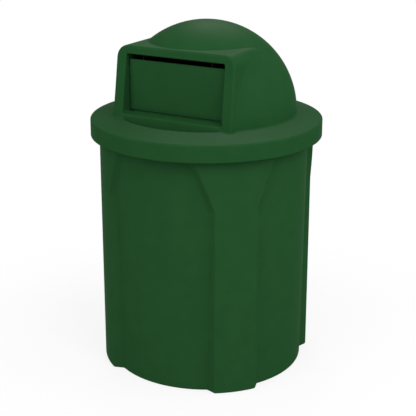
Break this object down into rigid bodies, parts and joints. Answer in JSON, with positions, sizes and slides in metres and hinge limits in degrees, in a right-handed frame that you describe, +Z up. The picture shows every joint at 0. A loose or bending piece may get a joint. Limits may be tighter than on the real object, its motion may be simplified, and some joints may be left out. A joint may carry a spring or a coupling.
{
  "type": "dome top waste receptacle",
  "caption": "Round ribbed outdoor waste bin with an overhanging domed lid, a hooded self-closing push door in the dome and a rigid lift-out liner.",
  "frame": {"origin": "on the ground, on the tub's axis, in the plane of its foot", "axes": "+Z up along the tub's axis, -Y out of the door, +X to the right of a person who faces +Y at the door"},
  "size_m": [0.6399, 0.64, 0.9696],
  "materials": {
    "tub_polyethylene": "satin moulded",
    "lid_polyethylene": "satin moulded",
    "door_polyethylene": "satin moulded",
    "liner_polyethylene": "satin moulded",
    "stainless_rod": "drawn",
    "coated_spring_wire": "black electrocoat",
    "black_acetal": "satin moulded",
    "black_rubber": "matt"
  },
  "bodies": {
    "tub": {"tub": "tub_polyethylene"},
    "liner": {"liner": "liner_polyethylene"},
    "lid": {"lid": "lid_polyethylene", "bush_left": "black_acetal", "bush_right": "black_acetal", "return_spring_left": "coated_spring_wire", "return_spring_right": "coated_spring_wire", "door_bumper_left": "black_rubber", "door_bumper_right": "black_rubber"},
    "door": {"door": "door_polyethylene", "hinge_rod": "stainless_rod", "push_nut_left": "stainless_rod", "push_nut_right": "stainless_rod"}
  },
  "joints": [
    {"name": "liner_lift", "type": "slide", "parent": "tub", "child": "liner", "axis": [0, 0, 1], "range_m": [0, 0.7]},
    {"name": "lid_lift", "type": "slide", "parent": "liner", "child": "lid", "axis": [0, 0, 1], "range_m": [0, 0.35]},
    {"name": "door_swing", "type": "hinge", "parent": "lid", "child": "door", "pos_m": [0, -0.1475, 0.865], "axis": [1, 0, 0], "range_deg": [0, 80], "stiffness_Nm_per_rad": 0.25, "springref_deg": -20.05, "deforming": ["return_spring_left", "return_spring_right"]}
  ]
}
